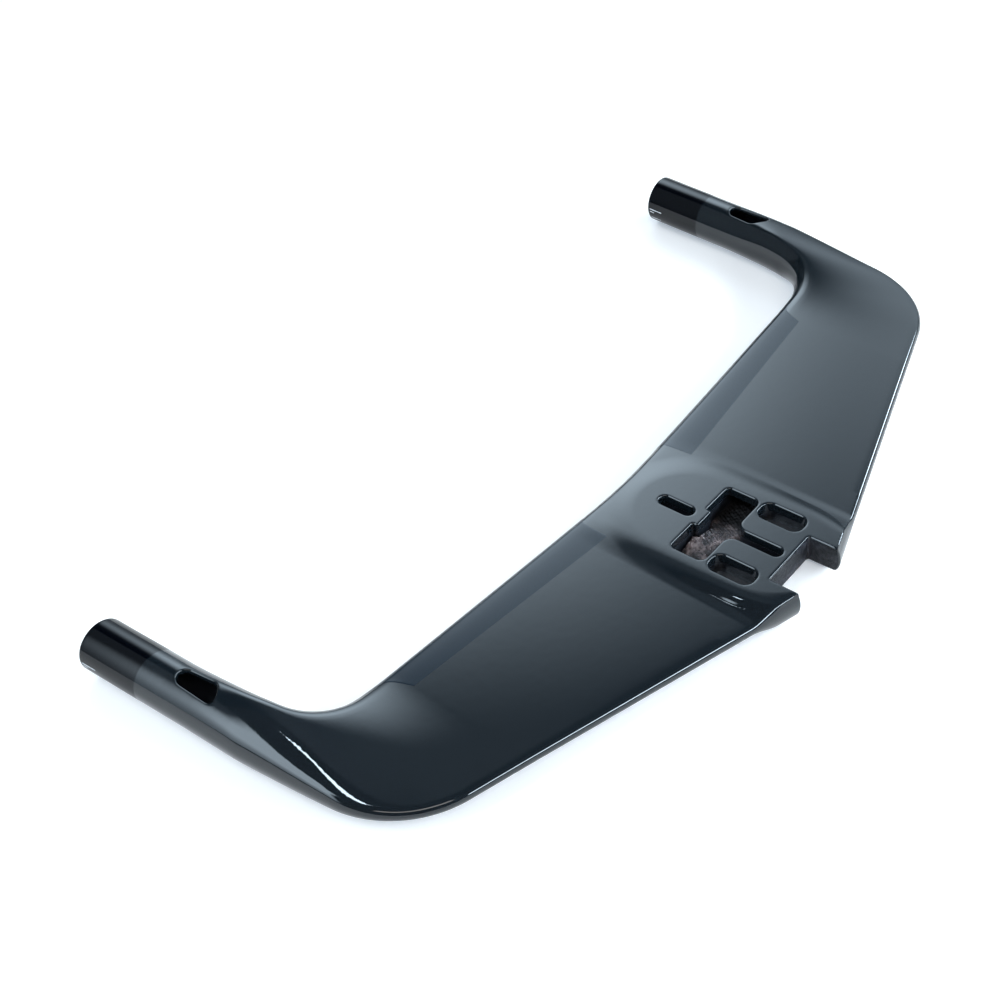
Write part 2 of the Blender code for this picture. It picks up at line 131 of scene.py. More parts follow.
# Openings.
PLATE_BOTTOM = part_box("centre_boss")[0].z
SLEEVE_TOP = PLATE_BOTTOM - 0.0001
SLEEVE_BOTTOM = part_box("left_bolt_sleeve")[0].z
SLEEVE_WALL = 0.0018
SLOT_WALL = 0.0016
HOUSING_GAP = 0.00002
SLOT_GAP = 0.00003
POCKET_HALF = 0.021
POCKET_REAR = 0.0265
POCKET_FRONT = 0.042
POCKET_FRONT_RADIUS = 0.0022
POCKET_REAR_RADIUS = 0.0032
POCKET_TAB = (0.0050, 0.0395)
TAB_RADII = (0.0010, 0.0009)
POCKET_FLOOR = 0.0036
SADDLE_LEFT = 0.0045
SADDLE_HALF = 0.0100
SADDLE_HEIGHT = 0.0046
SADDLE_LENGTH = 0.032
SADDLE_REAR = 0.0015
SADDLE_RAMP = 0.0035
FLOOR_EDGE = 0.0012
DUCT_REACH = 0.034
DUCT_MARGIN = 0.0001
SLOT_HALF = 0.0027
SLOT_REAR = 0.0035
SLOT_MOUTH_RADIUS = 0.0048
SLOT_END_RADIUS = 0.0026
BOLT_X = 0.018
BOLT_Y = NOTCH_Y + 0.0145
BOLT_HALF = (0.0048, 0.0100)
BOLT_RADIUS = 0.004
BOLT_LOWER_HALF = (0.0032, 0.0084)
BOLT_LOWER_RADIUS = 0.003
FRONT_SLOT = (0.045, 0.0615)
GRIP_SLOT_Y = 0.0493
GRIP_SLOT_INBOARD = 0.00035
GRIP_SLOT_HALF = (0.0040, 0.00975)
GRIP_SLOT_MARGIN = 0.003
NOTCH_CORNER = 0.0010
RIM = 0.0008

# The horns' bores, the station where they start and the small lip at their mouths.
WALL = 0.0018
BORE_START = 1.32
TIP_LIP = 0.0004

# Edge films, at their top edge and at their lower edge: where they start, as a distance from the
# middle, where they end, as a station, and the section's angle.  Then how far they stand out and
# reach in, and how much of their thickness is left at their borders before it is smoothed.
FILM_START = (0.030, 0.024)
FILM_END = (1.0, 1.32)
FILM_ANGLES = (1.78, 3.75)
FILM_PROUD = 0.00006
FILM_SUNK = 0.00006
FILM_BORDER = 0.35

# Bare laminate faces: how far they stand out of their wall and reach into it, how far they stay
# from the ear's end, and the share of each side over which their border flattens.
RAW_PROUD = 0.00011
RAW_CLEAR = 0.000004
RAW_SUNK = 0.0004
RAW_INSET = 0.00012
RAW_BORDER = 1 / 14

# How finely the skin is made.  The rows of a grid of triangles are ROW_SHARE of its spacing
# apart, and it keeps CLEAR_SHARE of its spacing away from every outline.
RIM_STEPS = 6
PATCH_X = 0.050
TOP_SPACING = 0.0006
BOTTOM_SPACING = 0.0010
FLOOR_SPACING = 0.0005
ROW_SHARE = 0.866
CLEAR_SHARE = 0.55
WING_ROWS = 70
CORNER_ROWS = 150
GRIP_ROWS = 44
FILM_STEPS = (200, 40)
RAW_STEPS = (31, 41)
TOP_EDGE = math.radians(60)
BISECTIONS = 48
WELD = 0.000002

# Looks: the painted body's material slots, the last for the notch's laminate darkened with painted shade,
# its colours, and where the bare tips of the horns start.  Each tick near a tip has its height above the
# axis and its start and end along the horn.
PAINT, RAW, LINING, NOTCH_SHADED_RAW = 0, 1, 2, 3
PAINT_COLOUR = (0.0058, 0.0087, 0.0114)
TICK_COLOUR = (0.62, 0.65, 0.68)
TIP_LINE = 0.0735
TICK_HALF = 0.00024
TICKS = ((0.0, 0.0950, 0.1024), (-0.0015, 0.0996, 0.1024), (-0.0055, 0.0963, 0.1024))
FLOOR_COLOUR = (0.93, 0.86, 0.80)
FLOOR_GLOW = (0.82, 0.95, 1.12)
FLOOR_STRENGTH = 0.30
WORLD_STRENGTH = 0.07
COOL = (0.80, 0.97, 1.11)
WARM = (1.0, 0.97, 0.94)
WHITE = (1.0, 1.0, 1.0)

# Studio: the floor, the backdrop and the photographer's camera.
FLOOR_Z = -0.0004
FLOOR_HALF = 6
BACKDROP_HALF = 1.35
BACKDROP_HEIGHT = 5
CAMERA_PLACE = (-0.40098, -0.31198, 0.46467)
CAMERA_RIGHT = Vector((0.627827, -0.774707, -0.075248))
CAMERA_UP = Vector((0.559318, 0.381807, 0.735790))
CAMERA_LENS = 58.303


def smooth(t):
    """An even step from 0 to 1."""
    t = np.clip(t, 0.0, 1.0)
    return t * t * (3 - 2 * t)


def lerp(a, b, t):
    return a + (b - a) * t


def rotated(vector, angle):
    c, s = math.cos(angle), math.sin(angle)
    return Vector((vector.x * c - vector.y * s, vector.x * s + vector.y * c))


def corner_arc(before, corner, after, radius, steps):
    """Points of the arc that rounds one corner of an outline."""
    to_before = (before - corner).normalized()
    to_after = (after - corner).normalized()
    half = to_before.angle(to_after) / 2
    bisector = (to_before + to_after).normalized()
    centre = corner + bisector * (radius / math.sin(half))
    first = corner + to_before * (radius / math.tan(half)) - centre
    last = corner + to_after * (radius / math.tan(half)) - centre
    turn = first.angle_signed(last)
    return [centre + rotated(first, -turn * k / steps) for k in range(steps + 1)]


def filleted_loop(corners, steps=10):
    """A closed outline, as an array, from (x, y, radius) corners."""
    points = [Vector(corner[:2]) for corner in corners]
    loop = []
    for k, corner in enumerate(corners):
        after = points[(k + 1) % len(points)]
        loop += corner_arc(points[k - 1], points[k], after, corner[2], steps)
    return np.array([tuple(point) for point in loop])


def filleted_path(vertices, radii):
    points = [Vector(vertex) for vertex in vertices]
    path = [points[0]]
    for k, radius in enumerate(radii, 1):
        path += corner_arc(points[k - 1], points[k], points[k + 1], radius, ARC_STEPS)
    path.append(points[-1])
    return np.array([tuple(point) for point in path])


def leading_y(x):
    return LEAD_Y + LEAD_SWEEP * (np.hypot(x, LEAD_ROUNDING) - LEAD_ROUNDING)


def trailing_y(x):
    return TRAIL_Y + TRAIL_SWEEP * x


def grip_x(y):
    return TIP_AXIS_X - TOE * (TIP_Y - y)


def grip_z(y):
    return GRIP_RADIUS + GRIP_CLEARANCE + RISE * (y - ROUND_Y)


def corner_path(start_y, vertices, radii, side):
    ends = ((SPLICE_X, start_y), (grip_x(ROUND_Y) + side * GRIP_RADIUS, ROUND_Y))
    path = filleted_path((ends[0], *vertices, ends[1]), radii)
    lengths = np.hypot(*np.diff(path, axis=0).T)
    return path, np.concatenate([[0.0], np.cumsum(lengths)]) / lengths.sum()


INNER_PATH = corner_path(leading_y(SPLICE_X), INNER_VERTICES, INNER_RADII, -1)
OUTER_PATH = corner_path(trailing_y(SPLICE_X), OUTER_VERTICES, OUTER_RADII, 1)


def along_path(path, t):
    points, share = path
    return np.stack([np.interp(t, share, points[:, 0]), np.interp(t, share, points[:, 1])], -1)


def stations(s):
    """Leading and trailing points and radii at s: 0-1 is the wing, 1-2 the corner, 2-3 the grip."""
    x = SPLICE_X * np.minimum(s, 1.0)
    t = np.clip(s - 1, 0.0, 1.0)
    y = lerp(ROUND_Y, TIP_Y, np.clip(s - 2, 0.0, 1.0))
    in_wing = (s <= 1)[..., None]
    in_grip = (s > 2)[..., None]
    lead = np.where(in_wing, np.stack([x, leading_y(x)], -1), along_path(INNER_PATH, t))
    trail = np.where(in_wing, np.stack([x, trailing_y(x)], -1), along_path(OUTER_PATH, t))
    lead = np.where(in_grip, np.stack([grip_x(y) - GRIP_RADIUS, y], -1), lead)
    trail = np.where(in_grip, np.stack([grip_x(y) + GRIP_RADIUS, y], -1), trail)
    ear = 1 - smooth((x - EAR_X) / EAR_FADE)
    nose_growth = smooth(t / NOSE_GROWN)
    tail_growth = smooth((t - TAIL_GROWS[0]) / (TAIL_GROWS[1] - TAIL_GROWS[0]))
    tail_rise = smooth((t - TAIL_RISES) / (1 - TAIL_RISES))
    top_z = grip_z(np.maximum(y, ROUND_Y))
    nose = (lerp(NOSE_RADIUS, GRIP_RADIUS, nose_growth), lerp(NOSE_Z, top_z, nose_growth))
    wing_z = lerp(lerp(TAIL_Z_INNER, TAIL_Z_OUTER, x / SPLICE_X), EAR_Z, ear)
    radius = lerp(lerp(TAIL_RADIUS, EAR_RADIUS, ear), GRIP_RADIUS, tail_growth)
    height = lerp(lerp(TAIL_RADIUS, EAR_HALF_HEIGHT, ear), GRIP_RADIUS, tail_growth)
    return lead, trail, nose, (radius, height, lerp(wing_z, top_z, tail_rise))


def deck_distance(x, y):
    """How far a point lies outside the deck's flat top."""
    x = np.abs(x)
    normal = DECK_CORNER_NORMAL
    chamfer = (x - DECK_CORNER[0]) * normal[0] + (y - DECK_CORNER[1]) * normal[1]
    round_front = np.hypot(x, y - DECK_FRONT) - DECK_HALF
    share = np.clip(0.5 + (x - DECK_HALF - chamfer) / (2 * DECK_CORNER_BLEND), 0.0, 1.0)
    behind = lerp(chamfer, x - DECK_HALF, share) + DECK_CORNER_BLEND * share * (1 - share)
    return np.where(y > DECK_FRONT, round_front, behind)


def pad_distance(x, y):
    return np.maximum(np.abs(x) - PAD_HALF, np.maximum(PAD_REAR - y, y - PAD_FRONT))


def place(s, angle, inset=0.0):
    """Points of the right half's skin; angle 0 is the tail, a quarter turn the top, a half the nose."""
    s, angle, inset = np.broadcast_arrays(s, angle, inset)
    lead, trail, nose, tail = stations(s)
    across = trail - lead
    chord = np.hypot(across[..., 0], across[..., 1])
    cosine, sine = np.cos(angle), np.sin(angle)
    w = smooth((cosine + BLEND) / (2 * BLEND))
    along = lerp(nose[0], chord - tail[0], w) + (lerp(nose[0], tail[0], w) - inset) * cosine
    z = lerp(nose[1], tail[2], w) + (lerp(nose[0], tail[1], w) - inset) * sine
    xy = lead + across * (along / chord)[..., None]
    x, y = xy[..., 0], xy[..., 1]
    rearward = smooth((DECK_FRONT - y) / (DECK_FRONT - DECK_CORNER[1]))
    beyond = deck_distance(x, y) + lerp(DECK_INSET[0], DECK_INSET[1], rearward)
    beyond = np.clip(beyond / lerp(DECK_FADE[0], DECK_FADE[1], rearward), 0.0, 1.0)
    fallen = lerp(smooth(beyond), beyond ** DECK_ROUND, rearward)
    on_deck = smooth((sine - FLAT_FROM) / FLAT_SPAN) * (1 - fallen)
    on_pad = smooth((-sine - FLAT_FROM) / FLAT_SPAN) * (1 - smooth(pad_distance(x, y) / PAD_FADE))
    z = lerp(z, DECK_Z - inset, on_deck)
    z = lerp(z, inset, on_pad)
    return np.stack([x, y, z], -1)


def height_points(xy, top):
    """The skin's points straight above or below points of the plan."""
    x, y = np.abs(xy[:, 0]), xy[:, 1]
    lead, trail, nose, tail = stations(x / SPLICE_X)
    wanted = lead[:, 1] - y
    chord = lead[:, 1] - trail[:, 1]
    low, high = -np.ones_like(x), np.ones_like(x)
    for _ in range(BISECTIONS):
        middle = (low + high) / 2
        w = smooth((middle + BLEND) / (2 * BLEND))
        along = lerp(nose[0], chord - tail[0], w) + lerp(nose[0], tail[0], w) * middle
        low = np.where(along < wanted, middle, low)
        high = np.where(along < wanted, high, middle)
    angle = np.arccos(np.clip((low + high) / 2, -1, 1))
    points = place(x / SPLICE_X, angle if top else -angle)
    points[:, 0] *= np.where(xy[:, 0] < 0, -1, 1)
    points[:, 1] = y
    return points


def rim_drop(distance):
    """How far a rounded rim has fallen at a distance from the wall below it."""
    left = 1 - np.clip((distance - WELD / 20) / RIM, 0.0, 1.0)
    return RIM * (1 - np.sqrt(1 - left * left))


RIM_OFFSETS = [RIM * (1 - math.cos(math.pi / 2 * k / RIM_STEPS)) for k in range(RIM_STEPS + 1)]


def runs_left(loop):
    """Whether an outline runs anticlockwise."""
    ahead = np.roll(loop, -1, axis=0)
    return np.sum(loop[:, 0] * ahead[:, 1] - ahead[:, 0] * loop[:, 1]) > 0


def offset_loop(loop, distance):
    """A closed outline moved outwards, point by point."""
    ahead = np.roll(loop, -1, axis=0) - loop
    behind = loop - np.roll(loop, 1, axis=0)
    ahead = ahead / np.maximum(np.hypot(*ahead.T)[:, None], 1e-12)
    behind = behind / np.maximum(np.hypot(*behind.T)[:, None], 1e-12)
    normal = np.stack([ahead[:, 1] + behind[:, 1], -ahead[:, 0] - behind[:, 0]], -1)
    normal /= np.hypot(*normal.T)[:, None]
    return loop + normal * distance * (1 if runs_left(loop) else -1)


def distance_to_lines(points, lines, chunk=3000):
    """Each point's distance to the nearest of several polylines."""
    starts = np.concatenate([line[:-1] for line in lines])
    ends = np.concatenate([line[1:] for line in lines])
    way = ends - starts
    length = np.maximum(np.sum(way * way, -1), 1e-18)
    nearest = np.empty(len(points))
    for first in range(0, len(points), chunk):
        part = points[first:first + chunk, None, :] - starts[None]
        t = np.clip(np.sum(part * way, -1) / length, 0, 1)
        gap = part - way * t[..., None]
        nearest[first:first + chunk] = np.sqrt(np.min(np.sum(gap * gap, -1), axis=1))
    return nearest


def inside(points, loop):
    """Which points lie inside a closed outline."""
    found = np.zeros(len(points), bool)
    x, y = points[:, 0], points[:, 1]
    for (ax, ay), (bx, by) in zip(loop, np.roll(loop, -1, axis=0)):
        if ay != by:
            crosses = (ay > y) != (by > y)
            found ^= crosses & (x < (bx - ax) * (y - ay) / (by - ay) + ax)
    return found


def closed(loop):
    return np.concatenate([loop, loop[:1]])


def triangulated(boundary, holes, lines, spacing):
    """Fills a plan outline with triangles that follow its holes and lines."""
    outlines = [closed(outline if runs_left(outline) else outline[::-1]) for outline in (boundary, *holes)]
    outlines += lines
    low, high = boundary.min(0), boundary.max(0)
    xs = np.arange(low[0] + spacing / 2, high[0], spacing)
    ys = np.arange(low[1] + spacing / 2, high[1], spacing * ROW_SHARE)
    grid_x, grid_y = np.meshgrid(xs, ys)
    grid_x[1::2] += spacing / 2
    grid = np.stack([grid_x.ravel(), grid_y.ravel()], -1)
    keep = inside(grid, boundary)
    for hole in holes:
        keep &= ~inside(grid, hole)
    grid = grid[keep]
    grid = grid[distance_to_lines(grid, outlines) > spacing * CLEAR_SHARE]
    points = []
    edges = []
    faces = []
    count = 0
    for outline in outlines:
        loops = np.allclose(outline[0], outline[-1], atol=1e-12)
        body = outline[:-1] if loops else outline
        points.append(body)
        numbers = list(range(count, count + len(body)))
        count += len(body)
        if len(faces) <= len(holes):
            faces.append(numbers)
        else:
            edges += zip(numbers, numbers[1:] + numbers[:1] if loops else numbers[1:])
    points = np.concatenate(points + [grid])
    made = delaunay_2d_cdt([Vector(point) for point in points], edges, faces, 1, 1e-9, True)
    verts = np.array([tuple(vert) for vert in made[0]])
    tris = [tri for tri, origin in zip(made[2], made[5]) if list(origin) == [0]]
    return verts, np.array(tris)


class Skin:
    """Collects grids and triangles, and welds them into one closed mesh."""

    def __init__(self):
        self.points = []
        self.faces = []
        self.kinds = []
        self.count = 0

    def add(self, points, faces, kind):
        self.points.append(np.asarray(points, float).reshape(-1, 3))
        self.faces += [[self.count + int(k) for k in face] for face in faces]
        self.kinds += [kind] * len(faces)
        self.count += len(self.points[-1])

    def grid(self, rows, kind=0, around=False):
        rows = np.asarray(rows)
        height, width = rows.shape[:2]
        faces = []
        for i in range(height - 1):
            for j in range(width if around else width - 1):
                after = (j + 1) % width
                faces.append((i * width + j, i * width + after,
                              (i + 1) * width + after, (i + 1) * width + j))
        self.add(rows, faces, kind)

    def both_sides(self, rows, kind=0, around=False):
        for side in (1, -1):
            self.grid(np.asarray(rows) * (side, 1, 1), kind, around)

    def face(self, points, kind=0):
        self.add(points, [range(len(points))], kind)

    def mesh(self, name):
        made = bpy.data.meshes.new(name)
        points = np.concatenate(self.points)
        points[:, 2] = np.maximum(points[:, 2], CAD_LOW.z)
        made.from_pydata([tuple(point) for point in points], [], self.faces)
        made.polygons.foreach_set("material_index", self.kinds)
        built = bmesh.new()
        built.from_mesh(made)
        bmesh.ops.remove_doubles(built, verts=built.verts, dist=WELD)
        bmesh.ops.dissolve_degenerate(built, edges=built.edges, dist=WELD / 10)
        bmesh.ops.recalc_face_normals(built, faces=built.faces)
        built.to_mesh(made)
        built.free()
        return made


def add_piece(name, mesh, materials, replaced, sharp=40):
    """Puts a mesh into the scene as a piece that rides on the bar."""
    mesh.shade_smooth()
    mesh.set_sharp_from_angle(angle=math.radians(sharp))
    for material in materials:
        mesh.materials.append(material)
    piece = bpy.data.objects.new(name, mesh)
    bpy.context.scene.collection.objects.link(piece)
    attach(piece, "root")
    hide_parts(*replaced)


# Outlines in the plan.

def capsule(centre, half_width, half_length, steps=14):
    angles = np.linspace(0, math.pi, steps + 1)
    reach = half_length - half_width
    front = np.stack([half_width * np.cos(angles), reach + half_width * np.sin(angles)], -1)
    return np.concatenate([front, -front]) + centre


def rounded_box(centre, half, radius, grow=0.0):
    (x, y), (half_x, half_y) = centre, half
    half_x, half_y = half_x + grow, half_y + grow
    signs = ((-1, -1), (1, -1), (1, 1), (-1, 1))
    return filleted_loop([(x + a * half_x, y + b * half_y, radius + grow) for a, b in signs])


def pocket_loop():
    """The T pocket with its rear slot, and the small tab in the middle of its front edge."""
    tab_half, tab_y = POCKET_TAB
    right = (
        (POCKET_HALF, POCKET_FRONT, POCKET_FRONT_RADIUS),
        (POCKET_HALF, POCKET_REAR, POCKET_REAR_RADIUS),
        (SLOT_HALF, POCKET_REAR, SLOT_MOUTH_RADIUS),
        (SLOT_HALF, SLOT_REAR, SLOT_END_RADIUS),
    )
    tab = ((tab_half, tab_y, TAB_RADII[0]), (tab_half, POCKET_FRONT, TAB_RADII[1]))
    left = [(-x, y, radius) for x, y, radius in reversed(right)]
    left_tab = [(-x, y, radius) for x, y, radius in reversed(tab)]
    corners = list(right) + left + left_tab + list(tab)
    return filleted_loop([(x, NOTCH_Y + y, radius) for x, y, radius in corners])


def front_slot_loop(grow=0.0):
    middle = NOTCH_Y + (FRONT_SLOT[0] + FRONT_SLOT[1]) / 2
    half_length = (FRONT_SLOT[1] - FRONT_SLOT[0]) / 2
    return capsule((0, middle), SLOT_HALF + grow, half_length + grow)


def bolt_loop(side, grow=0.0):
    return rounded_box((side * BOLT_X, BOLT_Y), BOLT_HALF, BOLT_RADIUS, grow)


def lower_bolt_loop(side):
    return rounded_box((side * BOLT_X, BOLT_Y), BOLT_LOWER_HALF, BOLT_LOWER_RADIUS)


def edge_y(x, angle):
    """Where the section at x reaches an angle, in the plan."""
    return place(np.asarray(x, float) / SPLICE_X, angle)[..., 1]


def notch_path(offset):
    """The notch's wall moved into the bar, from the right ear's end round to the left one's."""
    x = NOTCH_HALF + offset
    rear = float(edge_y(x, TOP_EDGE))
    turn = NOTCH_Y - NOTCH_CORNER
    side_points = [(x, y) for y in np.linspace(rear, turn, 18)[:-1]]
    angles = np.linspace(0, math.pi / 2, 9)
    centre = NOTCH_HALF - NOTCH_CORNER
    reach = NOTCH_CORNER + offset
    corner = [(centre + reach * math.cos(a), turn + reach * math.sin(a)) for a in angles]
    front = [(across, NOTCH_Y + offset) for across in np.linspace(centre, 0, 18)[1:]]
    right = np.array(side_points + corner + front)
    left = right[-2::-1] * (-1, 1)
    return np.concatenate([right, left])


REAR_X = np.concatenate([
    [NOTCH_HALF + offset for offset in RIM_OFFSETS],
    np.linspace(NOTCH_HALF + RIM, PATCH_X, 52)[1:],
])
FRONT_X = np.concatenate([np.linspace(0, NOTCH_HALF, 19)[:-1], REAR_X])
FRONT_X = np.concatenate([-FRONT_X[:0:-1], FRONT_X])


def blend_angles(steps):
    """Angles over the flat of the section, evenly spread from tail to nose."""
    w = 1 - np.arange(steps + 1) / steps
    t = 0.5 - np.sin(np.arcsin(1 - 2 * w) / 3)
    return np.arccos(BLEND * (2 * t - 1))


FLAT_ANGLES = np.concatenate([
    np.linspace(TOP_EDGE, math.acos(BLEND), 3)[:-1],
    blend_angles(26),
    np.linspace(math.pi - math.acos(BLEND), math.pi - TOP_EDGE, 3)[1:],
])
NOSE_ANGLES = np.linspace(math.pi - TOP_EDGE, math.pi + TOP_EDGE, 27)
TAIL_ANGLES = np.linspace(-TOP_EDGE, TOP_EDGE, 19)
ALL_ANGLES = np.concatenate([
    FLAT_ANGLES[:-1], NOSE_ANGLES[:-1], 2 * math.pi - FLAT_ANGLES[::-1][:-1], TAIL_ANGLES[:-1],
])


def middle_boundary():
    """The plan outline of the finely triangulated middle, from its front left corner round."""
    front = np.stack([FRONT_X, edge_y(np.abs(FRONT_X), math.pi - TOP_EDGE)], -1)
    side = place(PATCH_X / SPLICE_X, FLAT_ANGLES[::-1])[1:-1, :2]
    rear = np.stack([REAR_X[::-1], edge_y(REAR_X[::-1], TOP_EDGE)], -1)
    path = notch_path(0.0)[1:-1]
    mirrored_rear = rear[::-1] * (-1, 1)
    mirrored_side = side[::-1] * (-1, 1)
    return np.concatenate([front, side, rear, path, mirrored_rear, mirrored_side])


def middle_patch(skin, top, holes, spacing):
    """The deck side or the underside between the two wings, with rounded rims at its openings."""
    rims = [notch_path(offset) for offset in RIM_OFFSETS[1:]]
    for hole in holes:
        rims += [closed(offset_loop(hole, offset)) for offset in RIM_OFFSETS[1:]]
    plan, tris = triangulated(middle_boundary(), holes, rims, spacing)
    edges = [closed(hole) for hole in holes] + [notch_path(0.0)]
    points = height_points(plan, top)
    points[:, 2] += rim_drop(distance_to_lines(plan, edges)) * (-1 if top else 1)
    skin.add(points, tris, PAINT)


def rim_ring(loop, top):
    """A wall's outline at the foot of its rounded rim."""
    points = height_points(loop, top)
    points[:, 2] += RIM * (-1 if top else 1)
    return points


def at_height(loop, z):
    return np.column_stack([loop, np.full(len(loop), z)])


def walls(skin, rings, kind):
    """Joins closed rings of the same number of points."""
    skin.grid(np.array(rings), kind, around=True)


def nose_strip(skin):
    """The rounded leading edge of the middle."""
    rows = place((np.abs(FRONT_X) / SPLICE_X)[:, None], NOSE_ANGLES[None])
    rows[..., 0] *= np.where(FRONT_X < 0, -1, 1)[:, None]
    skin.grid(rows)


def tail_strips(skin):
    """The ears' and wings' rounded rear edges; returns the right one's end at the notch."""
    rows = place((REAR_X / SPLICE_X)[:, None], TAIL_ANGLES[None])
    drop = rim_drop(REAR_X - NOTCH_HALF)[:, None]
    lean = TAIL_ANGLES[None] * (math.pi / 2 / TOP_EDGE)
    rows[..., 1] += drop * np.cos(lean)
    rows[..., 2] -= drop * np.sin(lean)
    skin.both_sides(rows)
    ends = rows[0]
    for side in (1, -1):
        skin.face(ends * (side, 1, 1), NOTCH_SHADED_RAW)
    return ends


def notch_walls(skin):
    """The upright wall of the notch, between its two rounded rims."""
    path = notch_path(0.0)
    skin.grid(np.array([rim_ring(path, True), rim_ring(path, False)]), NOTCH_SHADED_RAW)


def outboard_stations():
    """Stations from the middle patch to the grip's end, dense round the corner."""
    wing = np.linspace(PATCH_X / SPLICE_X, 1.0, WING_ROWS)[:-1]
    corner = np.linspace(1.0, 2.0, CORNER_ROWS)[:-1]
    end = 2 + (TIP_Y - RIM - ROUND_Y) / (TIP_Y - ROUND_Y)
    grip = np.linspace(2.0, end, GRIP_ROWS)
    return np.concatenate([wing, corner, grip])


def slot_window(s_values):
    """Rows and outline of the part of the horn's top that holds the cable slot."""
    top_line = place(s_values, math.pi / 2)
    lengths = np.hypot(*np.diff(top_line[:, :2], axis=0).T)
    run = np.concatenate([[0.0], np.cumsum(lengths)])
    centre = np.interp(GRIP_SLOT_Y, top_line[:, 1], run)
    margin = GRIP_SLOT_HALF[1] + GRIP_SLOT_MARGIN
    first = int(np.searchsorted(run, centre - margin))
    last = int(np.searchsorted(run, centre + margin))
    side_b = (FLAT_ANGLES - math.pi / 2) * GRIP_RADIUS
    rows = run[first:last + 1]
    boundary = np.concatenate([
        np.stack([np.full(len(rows), side_b[0]), rows], -1),
        np.stack([side_b[1:], np.full(len(side_b) - 1, rows[-1])], -1),
        np.stack([np.full(len(rows) - 1, side_b[-1]), rows[-2::-1]], -1),
        np.stack([side_b[-2:0:-1], np.full(len(side_b) - 2, rows[0])], -1),
    ])
    loop = capsule((GRIP_SLOT_INBOARD, centre), *GRIP_SLOT_HALF)

    def lift(plan, inset):
        s = np.interp(plan[:, 1], run, s_values)
        return place(s, math.pi / 2 + plan[:, 0] / GRIP_RADIUS, inset)

    return first, last, boundary, loop, lift


def horn_surface(skin, s_values, inset, rounded):
    """The horn's outer or inner wall on both sides, with its cable slot left open."""
    first, last, boundary, loop, lift = slot_window(s_values)
    rows = place(s_values[:, None], ALL_ANGLES[None], inset)
    flat = len(FLAT_ANGLES)
    skin.both_sides(rows[:first + 1], around=True, kind=inset_kind(inset))
    skin.both_sides(rows[last:], around=True, kind=inset_kind(inset))
    band = np.concatenate([rows[first:last + 1, flat - 1:], rows[first:last + 1, :1]], axis=1)
    skin.both_sides(band, kind=inset_kind(inset))
    rims = [closed(offset_loop(loop, offset)) for offset in RIM_OFFSETS[1:]] if rounded else []
    plan, tris = triangulated(boundary, [loop], rims, TOP_SPACING)
    drop = rim_drop(distance_to_lines(plan, [closed(loop)])) if rounded else 0.0
    points = lift(plan, inset + drop)
    for side in (1, -1):
        skin.add(points * (side, 1, 1), tris, inset_kind(inset))
    return rows, loop, lift


def inset_kind(inset):
    """The horn's inner wall is lined; its outer wall is painted."""
    return LINING if inset > 0 else PAINT


def horns(skin):
    """Both outboard wings, corners and grips, with rounded tips and open bores."""
    s_values = outboard_stations()
    outer, loop, lift = horn_surface(skin, s_values, 0.0, True)
    bore_s = s_values[s_values > BORE_START]
    inner, bore_loop, bore_lift = horn_surface(skin, bore_s, WALL, False)
    for side in (1, -1):
        steps = [lift(loop, inset) for inset in np.linspace(RIM, WALL, 4)[:-1]]
        steps.append(bore_lift(bore_loop, WALL))
        walls(skin, np.array(steps) * (side, 1, 1), PAINT)
        skin.face(inner[0] * (side, 1, 1), LINING)
    turns = np.linspace(0, math.pi / 2, RIM_STEPS + 1)
    tip = [outer[-1]]
    for turn in turns[1:]:
        y = TIP_Y - RIM + RIM * math.sin(turn)
        tip.append(tip_ring(y, RIM * (1 - math.cos(turn))))
    for turn in turns:
        y = TIP_Y - TIP_LIP + TIP_LIP * math.cos(turn)
        tip.append(tip_ring(y, WALL - TIP_LIP + TIP_LIP * math.sin(turn)))
    tip.append(inner[-1])
    skin.both_sides(np.array(tip), PAINT, around=True)


def tip_ring(y, inset):
    """One ring of the grip, near its tip."""
    s = 2 + (y - ROUND_Y) / (TIP_Y - ROUND_Y)
    return place(np.full(len(ALL_ANGLES), s), ALL_ANGLES, inset)


def duct_loop(loop):
    """The pocket's outline below the deck: its two ends run on into the wings, and its slot
    stands just inside its sleeve."""
    low = loop.copy()
    beyond = np.abs(loop[:, 0]) - POCKET_HALF / 2
    reach = DUCT_REACH - POCKET_HALF
    share = smooth(beyond / (POCKET_HALF / 2 - POCKET_REAR_RADIUS))
    in_pocket = loop[:, 1] > NOTCH_Y + POCKET_REAR - DUCT_MARGIN
    low[:, 0] += np.where(in_pocket, np.sign(loop[:, 0]) * reach * share, 0.0)
    return np.where(in_pocket[:, None], low, offset_loop(loop, -SLOT_GAP))


def hump(x, y):
    """The floor of the pocket: a saddle of laminate between the two ducts, rough with waves."""
    across = np.exp(-((x + SADDLE_LEFT) / SADDLE_HALF) ** 2)
    middle = NOTCH_Y + (POCKET_REAR + POCKET_FRONT) / 2
    front = smooth((y - NOTCH_Y - POCKET_REAR + SADDLE_REAR) / SADDLE_RAMP)
    rolls = 0.00022 * np.sin(x * 1900 + 2.2 * np.sin(y * 700)) * np.sin(y * 1500 + 1.3)
    rolls += 0.00012 * np.sin(x * 3900 - y * 2100) + 0.00010 * np.sin(y * 4700 + x * 900)
    sag = 1 - ((y - middle) / SADDLE_LENGTH) ** 2
    return across * front * (SADDLE_HEIGHT * sag + rolls * 1.4) + rolls * 0.6 * front


